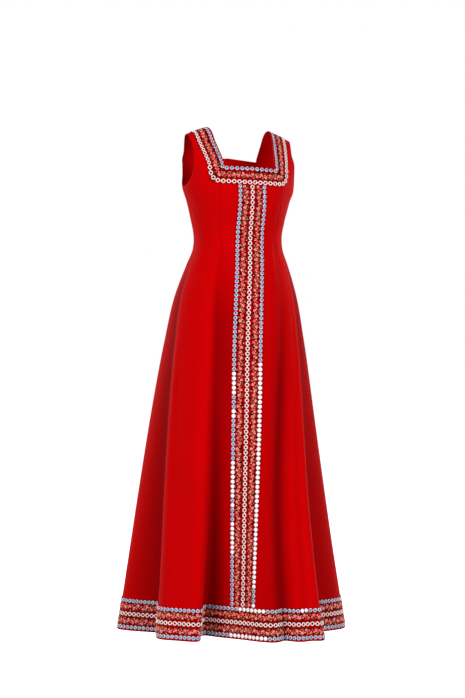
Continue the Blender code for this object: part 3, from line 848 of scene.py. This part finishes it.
# White sequin shape, used for the painted glints
GLINT_WHITE_SEQUIN = lathe(((0, 0.0016), (0.0030, 0.0014), (0.0048, 0.0009), (0.0053, 0)), 12, (3, 3, 3))
RING = lathe(
    ((0.0032, 0.0), (0.0035, 0.0010), (0.0044, 0.0014), (0.0052, 0.0010), (0.0055, 0.0)), 14, (0, 0, 0, 0)
)
KNOT = lathe(((0, 0.0010), (0.0008, 0.0008), (0.0013, 0.0)), 8, (0, 0))
SEQUIN_KNOT = relooked(KNOT, 4)
PETAL = lathe(((0, 0.0011), (0.0017, 0.0009), (0.0025, 0.0)), 8, (0, 0))
PALE_PETAL, OLIVE_LEAF, GREEN_LEAF, KHAKI_LEAF = (relooked(PETAL, look) for look in (1, 2, 3, 4))
STITCH = lathe(((0, 0.0004), (0.0003, 0.0003), (0.0004, 0.0)), 6, (0, 0))
STITCH_SIZE = (3.2, 0.8, 0.8)
SEQUIN_LOOKS = ("sequin_deep", "sequin_sky", "sequin_rim", "painted_glint", "link")
FLOWER_LOOKS = ("coral", "coral_light", "olive", "green", "khaki")
# Flowers, in metres: how far each swings to a side, how far its petals reach and how much both vary, the
# shares of pale petals and of leaves, and each leaf's motif, places along and across, and length
PETALS = 5
SWING = 0.0030
SWING_VARIES = 0.0006
PETAL_REACH = 0.0032
REACH_VARIES = 0.0003
BUD_STEP = 0.0022
PALE_SHARE = 0.42
LEAF_SHARE = 0.5
LEAVES = (
    (OLIVE_LEAF, -0.0030, 0.0062, 1.25),
    (GREEN_LEAF, 0.0012, 0.0073, 0.95),
    (OLIVE_LEAF, 0.0046, 0.0064, 1.15),
    (KHAKI_LEAF, 0.0032, 0.0084, 0.70),
)


def evenly(path, pitch, shift=0.5):
    """Lengths along a path at a pitch that fits it, starting this share of a pitch in."""
    pitches = pitch * np.where(np.isin(path.owners, STRAPS), STRAP_PITCH_SHARE, 1.0)
    passed = np.concatenate([[0.0], np.cumsum(np.diff(path.run) / pitches[1:])])
    count = max(int(round(passed[-1])), 1)
    return np.interp((np.arange(count) + shift) * passed[-1] / count, passed, path.run)


def in_stretches(shares, stretches):
    found = np.zeros(len(shares), dtype=bool)
    for start, end in stretches:
        found |= (shares >= start) & (shares <= end)
    return found


def chosen(frames, keep):
    return tuple(block[keep] for block in frames)


def sequin_row(motifs, path, glint_stretches=(), pitch=SEQUIN_PITCH):
    """Blue sequins with a pale rim, and white ones as painted glints along the glinting stretches
    (shares of the path).
    """
    at = evenly(path, pitch)
    pale = in_stretches(at / path.length, glint_stretches)
    frames = path.frames(at)
    motifs.add(SEQUIN, chosen(frames, ~pale))
    motifs.add(GLINT_WHITE_SEQUIN, chosen(frames, pale))
    motifs.add(SEQUIN_KNOT, path.frames(evenly(path, pitch, 1.0)), sizes=(1.3, 0.9, 1.0))


def ring_row(motifs, path, pitch=RING_PITCH):
    motifs.add(RING, path.frames(evenly(path, pitch)))
    motifs.add(KNOT, path.frames(evenly(path, pitch, 1.0)), sizes=(1.2, 1.0, 1.0))


def flower_row(motifs, path, seed, pitch=FLOWER_PITCH, scale=1.0):
    """Flowers that swing from side to side, with buds between them and leaves on the open side."""
    draw = np.random.default_rng(seed)
    at = evenly(path, pitch)
    count = len(at)
    side = np.where(np.arange(count) % 2 == 0, -1.0, 1.0)
    frames = path.frames(at)

    def put(template, places, size, turn, shift):
        motifs.add(template, places, np.asarray(size) * scale, turn, shift * scale)

    along = draw.normal(0, SWING_VARIES, count)
    middle = np.stack([along, side * SWING + draw.normal(0, SWING_VARIES, count)], axis=-1)
    start_turn = draw.uniform(0, 2 * math.pi, count)
    for petal in range(PETALS):
        turn = start_turn + petal * 2 * math.pi / PETALS
        reach = PETAL_REACH + draw.normal(0, REACH_VARIES, count)
        shift = middle + np.stack([reach * np.cos(turn), reach * np.sin(turn)], axis=-1)
        size = np.stack([1.0 + 0.12 * draw.normal(size=count), 0.76 + 0 * turn, 1.0 + 0 * turn], axis=-1)
        pale = draw.uniform(size=count) < PALE_SHARE
        for template, keep in ((PETAL, ~pale), (PALE_PETAL, pale)):
            put(template, chosen(frames, keep), size[keep], turn[keep], shift[keep])
    put(KHAKI_LEAF, frames, (0.45, 0.45, 1.35), 0.0, middle)
    between = path.frames(evenly(path, pitch, 1.0))
    for step in (-BUD_STEP, BUD_STEP):
        shift = np.stack([np.full(count, step), step * side * 1.1 + draw.normal(0, 0.0005, count)], axis=-1)
        put(PALE_PETAL if step > 0 else PETAL, between, (1.05, 0.7, 0.9), 0.6 * side, shift)
    for template, ahead, out, length in LEAVES:
        along = ahead + draw.normal(0, 0.0008, count)
        shift = np.stack([along, -side * (out + draw.normal(0, SWING_VARIES, count))], axis=-1)
        turn = draw.uniform(-0.9, 0.9, count)
        keep = draw.uniform(size=count) < LEAF_SHARE
        put(template, chosen(frames, keep), (length, 0.65, 0.8), turn[keep], shift[keep])


def stitch_row(motifs, path):
    at = evenly(path, STITCH_PITCH)
    motifs.add(STITCH, path.frames(at), STITCH_SIZE)


# Front band: rows down the centre of the front


def front_band_line(down):
    """A fine line across the front centre panel, with its lengths and the length at its middle."""
    line, run, _shade = panel_line("front_centre", down)
    return line, run, run[ROW_SAMPLES // 2]


FRONT_BAND_TOP = FRONT_NECK + NECK_BAND_WIDTH
BAND_ROW_STEP = 0.005
PATH_STEP = 0.004
PATH_PAST_END = 0.001
FRONT_BAND_DOWNS = even_stops(FRONT_BAND_TOP, HEM_BAND_TOP, BAND_ROW_STEP)
BAND_EDGE = np.array([0.0400, 0.0393, 0.0380])
BAND_ACROSS = np.concatenate([-BAND_EDGE, np.linspace(-0.035, 0.035, 15), BAND_EDGE[::-1]])


def front_band_path(across):
    downs = even_stops(FRONT_BAND_TOP - PATH_PAST_END, HEM_BAND_TOP + PATH_PAST_END, PATH_STEP)
    rows = []
    for down in downs:
        line, run, middle = front_band_line(down)
        rows.append(read_along(line, run, middle + np.array([across - STEP, across, across + STEP])))
    rows = np.array(rows)
    outward = outward_of(rows)[:, 1]
    return Path(rows[:, 1] + RIBBON_FACE * outward, outward, ["front_band"] * len(rows), False)


def front_band_base():
    base = []
    for down in FRONT_BAND_DOWNS:
        line, run, middle = front_band_line(down)
        base.append(read_along(line, run, middle + BAND_ACROSS))
    flats = np.stack(np.broadcast_arrays(FRONT_BAND_DOWNS[:, None], BAND_ACROSS[None]), axis=-1)
    return grids(base, flats, False)


# Hem bands: rows round the hem, split between front and back at the side seams

HEM_FRONT = (valley_place(-1), valley_place(3))
HEM_BACK = (valley_place(3), valley_place(7))
HEM_BAND_MIDDLE = HEM_BAND_TOP + BAND_WIDTH / 2
HEM_DOWNS = HEM_BAND_MIDDLE + BAND_ACROSS
HEM_PATH_SAMPLES = 1600


def hem_path(across):
    """A loop round the hem at this way below the band's middle."""
    places = np.linspace(HEM_FRONT[0], HEM_BACK[1], HEM_PATH_SAMPLES)
    down = HEM_BAND_MIDDLE + across
    rows = np.array([skirt_points(d, places) for d in (down - STEP, down, down + STEP)])
    outward = outward_of(rows)[1]
    owners = np.where(places < HEM_FRONT[1], "hem_band_front", "hem_band_back")
    return Path(rows[1] + RIBBON_FACE * outward, outward, owners, True)


def hem_base(start, end):
    places = np.linspace(start, end, ROW_SAMPLES * 3)
    middle_run = lengths_along(skirt_points(HEM_BAND_MIDDLE, places))
    stops = even_stops(0, middle_run[-1], BAND_ROW_STEP)
    shares = np.interp(stops, middle_run, places)
    base = np.array([skirt_points(down, shares) for down in HEM_DOWNS])
    flats = np.stack(np.broadcast_arrays(stops[None], (HEM_DOWNS - HEM_DOWNS.mean())[:, None]), axis=-1)
    return base, flats, np.tile(painted_fold_shade(HEM, shares), (len(HEM_DOWNS), 1))


# Neck bands: one strip along the front edge with both corners, one along the back, and one over each strap.
# Each face of the neck has its middle's bearing, its edge's column in the table and its height.

NECK_FACES = {"front": (0.0, "inner_front", FRONT_NECK), "back": (180.0, "inner_back", BACK_NECK)}
NECK_REACH = 75.0
NECK_LINE_SAMPLES = 40
CORNER_SAMPLES = 12
LEAST_ROUND = 0.004
NECK_EDGE = np.array([0.0, 0.0008, 0.0020])
NECK_EDGE_END = 0.0045
NECK_MIDDLE = np.linspace(NECK_EDGE_END, NECK_BAND_WIDTH - NECK_EDGE_END, 10)
NECK_INSETS = np.concatenate([NECK_EDGE, NECK_MIDDLE, NECK_BAND_WIDTH - NECK_EDGE[::-1]])
STRIP_COLUMNS = 61
STRAP_FRONT_ROWS = 38
STRAP_BACK_ROWS = 31


def neck_row(face, down):
    """A fine line round the front or the back at this height, its signed lengths from the middle, and the
    length at the neck edge. Below the neck's corner its edge runs on straight down."""
    middle, key, neck = NECK_FACES[face]
    angles = np.linspace(-NECK_REACH, NECK_REACH, 2 * ROW_SAMPLES + 1)
    points = point_at(down, middle + angles, 1.0)
    if face == "back":
        points = points[::-1]
    run = lengths_along(points)
    run = run - run[ROW_SAMPLES]
    edge_bearing = section(min(down, neck))[key]
    return points, run, float(np.interp(edge_bearing, angles, run))


def neck_point(face, down, run_from_middle):
    points, run, _edge = neck_row(face, down)
    return read_along(points, run, np.atleast_1d(run_from_middle))[0]


def neck_frame(face, down, run_from_middle):
    """The point on the panel's inner face, and the way out."""
    points, run, _edge = neck_row(face, down)
    near = read_along(points, run, run_from_middle + np.array([-STEP, 0.0, STEP]))
    above = neck_point(face, max(down - STEP, 0.0), run_from_middle)
    below = neck_point(face, down + STEP, run_from_middle)
    outward = np.cross(below - above, near[2] - near[0])
    if face == "back":
        outward = -outward
    return near[1], unit(outward)


def rounded(line, corner, radius):
    """A flat line with the corner at this index rounded off."""
    run = lengths_along(line)
    start, end = run[corner] - radius, run[corner] + radius
    before, after = line[run < start], line[run > end]
    a = np.array([np.interp(start, run, line[:, k]) for k in range(2)])
    b = np.array([np.interp(end, run, line[:, k]) for k in range(2)])
    share = np.linspace(0, 1, CORNER_SAMPLES)[:, None]
    arc = (1 - share) ** 2 * a + 2 * share * (1 - share) * line[corner] + share**2 * b
    return np.concatenate([before, arc, after])


def neck_line(face, inset):
    """The flat line (run from the middle, down) this far from the neck edge, from the left shoulder to the
    right one."""
    bottom_down = NECK_FACES[face][2] + inset
    downs = np.linspace(0.0, bottom_down, NECK_LINE_SAMPLES)
    sides = np.array([neck_row(face, down)[2] + inset for down in downs])
    left = np.stack([-sides, downs], axis=-1)
    bottom_run = np.linspace(-sides[-1], sides[-1], NECK_LINE_SAMPLES)
    bottom = np.stack([bottom_run, np.full(NECK_LINE_SAMPLES, bottom_down)], axis=-1)
    right = np.stack([sides, downs], axis=-1)[::-1]
    line = np.concatenate([left, bottom[1:], right[1:]])
    radius = NECK_ROUNDS[inset]
    line = rounded(line, len(line) - NECK_LINE_SAMPLES, radius)
    return rounded(line, NECK_LINE_SAMPLES - 1, radius)


def neck_owner(face, run_from_middle, down):
    if down > NECK_FACES[face][2]:
        return "neck_band_" + face
    return "neck_band_" + ("left" if run_from_middle < 0 else "right")


def neck_path(inset):
    """The whole loop round the neck, this far from its edge."""
    front = neck_line("front", inset)
    back = neck_line("back", inset)[::-1]
    places, outward, owners = [], [], []
    for face, line in (("front", front), ("back", back)):
        for run, down in line:
            place, out = neck_frame(face, down, run)
            places.append(place)
            outward.append(out)
            owners.append(neck_owner(face, run, down))
    places, outward = np.array(places), np.array(outward)
    places = np.concatenate([places, places[:1]])
    outward = np.concatenate([outward, outward[:1]])
    owners.append(owners[0])
    return Path(places + RIBBON_FACE * outward, outward, owners, True)


def grids(base, flats, turned):
    """Points, flat places and no shade, with the columns turned round if asked."""
    step = -1 if turned else 1
    base, flats = np.array(base)[:, ::step], np.array(flats)[:, ::step]
    return base, flats, np.zeros(flats.shape[:2])


def neck_flat_base(face):
    """The strip below the neck edge, corners included, with its lower corners rounded."""
    straight = NECK_BAND_WIDTH - NECK_BAND_ROUND
    base, flats = [], []
    for inset in NECK_INSETS:
        points, run, edge = neck_row(face, NECK_FACES[face][2] + inset)
        below = max(inset - straight, 0.0)
        reach = straight + math.sqrt(NECK_BAND_ROUND**2 - below**2)
        half = edge + max(reach, straight + LEAST_ROUND)
        middle = np.linspace(-half + NECK_EDGE_END, half - NECK_EDGE_END, STRIP_COLUMNS)
        stops = np.concatenate([-half + NECK_EDGE, middle, half - NECK_EDGE[::-1]])
        base.append(read_along(points, run, stops))
        flats.append(np.stack([stops, NECK_RING - np.maximum(inset, np.abs(stops) - edge)], axis=-1))
    return grids(base, flats, face == "back")


def strap_base(side):
    """The strip over one shoulder, from the front corner to the back corner."""
    sign = -1.0 if side == "left" else 1.0
    up = np.linspace(FRONT_NECK, 0.0, STRAP_FRONT_ROWS)
    over = np.linspace(0.0, BACK_NECK, STRAP_BACK_ROWS)[1:]
    base, flats = [], []
    travelled = 0.0
    for face, downs in (("front", up), ("back", over)):
        for down in downs:
            points, run, edge = neck_row(face, down)
            base.append(read_along(points, run, sign * (edge + NECK_INSETS)))
            if len(base) > 1:
                travelled += np.linalg.norm(base[-1][0] - base[-2][0])
            flats.append(np.stack([np.full(len(NECK_INSETS), travelled), NECK_RING - NECK_INSETS], axis=-1))
    return grids(base, flats, side == "right")


def make_camera():
    turn = math.radians(VIEW_TURN)
    aim = Vector((VIEW_SHIFT * math.cos(turn), VIEW_SHIFT * math.sin(turn), AIM_HEIGHT))
    data = bpy.data.cameras.new("camera")
    data.lens = LENS
    data.clip_end = 60.0
    camera = in_scene("camera", data)
    camera.location = (
        aim.x + math.sin(turn) * VIEW_DISTANCE,
        aim.y - math.cos(turn) * VIEW_DISTANCE,
        EYE_HEIGHT,
    )
    look_at(camera, aim)
    bpy.context.scene.camera = camera


# Soft lights: bearing from the front, height, distance, width and power, and the height they face
LIGHTS = {
    "front_left": (-60.0, 0.5, 4.2, 2.4, 115.0),
    "front_right": (20.0, 0.5, 4.2, 2.4, 115.0),
    "back_right": (115.0, 0.8, 4.4, 2.0, 69.0),
    "back_left": (205.0, 0.8, 4.4, 2.0, 69.0),
}
LIT_HEIGHT = -0.65


def make_lights():
    for name, (bearing, height, distance, width, power) in LIGHTS.items():
        data = bpy.data.lights.new(name, "AREA")
        data.size = width
        data.energy = power
        light = in_scene(name, data)
        angle = math.radians(bearing)
        light.location = (math.sin(angle) * distance, -math.cos(angle) * distance, height)
        look_at(light, Vector((0.0, 0.0, LIT_HEIGHT)))


WORLD_LIGHT = 0.23
WORLD_SHOWN = 1.0


def make_world():
    """A white studio: what shows behind the dress is brighter than what lights it."""
    world = bpy.data.worlds.new("studio")
    world.use_nodes = True
    tree = world.node_tree
    background = tree.nodes["Background"]
    background.inputs["Color"].default_value = (1.0, 1.0, 1.0, 1.0)
    path = tree.nodes.new("ShaderNodeLightPath")
    strength = calculated(tree, "MULTIPLY", path.outputs["Is Camera Ray"], WORLD_SHOWN - WORLD_LIGHT)
    tree.links.new(calculated(tree, "ADD", strength, WORLD_LIGHT), background.inputs["Strength"])
    bpy.context.scene.world = world
    bpy.context.scene.view_settings.view_transform = "Standard"


FLOOR_GLOW = 0.93
FLOOR_REACH = 14.0


def make_floor():
    made, tree, node = shader("pale_studio_floor", 0.9, specular=0.1)
    greys = ((0.3, (0.90, 0.90, 0.90)), (0.7, (0.94, 0.94, 0.94)))
    toned(tree, node, object_place(tree), 3.0, 2.0, greys)
    node.inputs["Emission Color"].default_value = (1.0, 1.0, 1.0, 1.0)
    node.inputs["Emission Strength"].default_value = FLOOR_GLOW
    mesh = bpy.data.meshes.new("floor")
    corners = [
        (x * FLOOR_REACH, y * FLOOR_REACH, FLOOR_HEIGHT) for x, y in ((-1, -1), (1, -1), (1, 1), (-1, 1))
    ]
    mesh.from_pydata(corners, [], [(0, 1, 2, 3)])
    mesh.materials.append(made)
    floor = in_scene("floor", mesh)
    floor.visible_diffuse = False


FRONT_SEED = 11
HEM_SEED = 21
NECK_SEED = 31
# Where the sequins are white ones, painted glints that stand for highlights, as shares of the row from its
# start
GLINT_WHITE_FRONT = {
    -SEQUIN_ACROSS: ((0.450, 0.507), (0.534, 0.562), (0.663, 0.746), (0.761, 0.773), (0.801, 0.878)),
    SEQUIN_ACROSS: ((0.433, 0.957), (0.985, 1.0)),
}
GLINT_WHITE_HEM = {
    -SEQUIN_ACROSS: ((0.189, 0.230), (0.277, 0.292)),
    SEQUIN_ACROSS: ((0.178, 0.230),),
}


def make_motifs():
    """Every row of sequins, rings and flowers, and the pieces they make for each ribbon."""
    sequins, rings, flowers, stitches = Motifs(), Motifs(), Motifs(), Motifs()
    for across in (-SEQUIN_ACROSS, SEQUIN_ACROSS):
        sequin_row(sequins, front_band_path(across), GLINT_WHITE_FRONT[across])
        sequin_row(sequins, hem_path(across), GLINT_WHITE_HEM[across])
    for row, across in enumerate((-FLOWER_ACROSS, FLOWER_ACROSS)):
        flower_row(flowers, front_band_path(across), FRONT_SEED + row, scale=FRONT_FLOWER_SIZE)
        flower_row(flowers, hem_path(across), HEM_SEED + row, scale=HEM_FLOWER_SIZE)
    ring_row(rings, front_band_path(RING_ACROSS))
    ring_row(rings, hem_path(RING_ACROSS))
    sequin_row(sequins, neck_path(NECK_SEQUIN), pitch=NECK_SEQUIN_PITCH)
    flower_row(flowers, neck_path(NECK_FLOWER), NECK_SEED, NECK_FLOWER_PITCH, NECK_FLOWER_SIZE)
    ring_row(rings, neck_path(NECK_RING), NECK_RING_PITCH)
    for across in (-STITCH_ACROSS, STITCH_ACROSS):
        stitch_row(stitches, front_band_path(across))
        stitch_row(stitches, hem_path(across))
    stitch_row(stitches, neck_path(NECK_STITCH))
    return [
        sequins.make("sequins", SEQUIN_LOOKS),
        rings.make("rings", ("ring",)),
        flowers.make("flowers", FLOWER_LOOKS),
        stitches.make("stitches", ("red_thread",)),
    ]


def make_ribbons(motif_pieces):
    bases = {
        "front_band": front_band_base(),
        "hem_band_front": hem_base(*HEM_FRONT),
        "hem_band_back": hem_base(*HEM_BACK),
        "neck_band_front": neck_flat_base("front"),
        "neck_band_back": neck_flat_base("back"),
        "neck_band_left": strap_base("left"),
        "neck_band_right": strap_base("right"),
    }
    for node, (base, flats, shades) in bases.items():
        outward = outward_of(base)
        inner, outer = base + (WALL + GAP) * outward, base + RIBBON_FACE * outward
        made = wall("ribbon_" + node, inner, outer, flats, shades, "ribbon")
        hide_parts(node)


make_camera()
make_lights()
make_world()
make_floor()
for panel in PANELS:
    make_panel(panel)
make_ribbons(make_motifs())
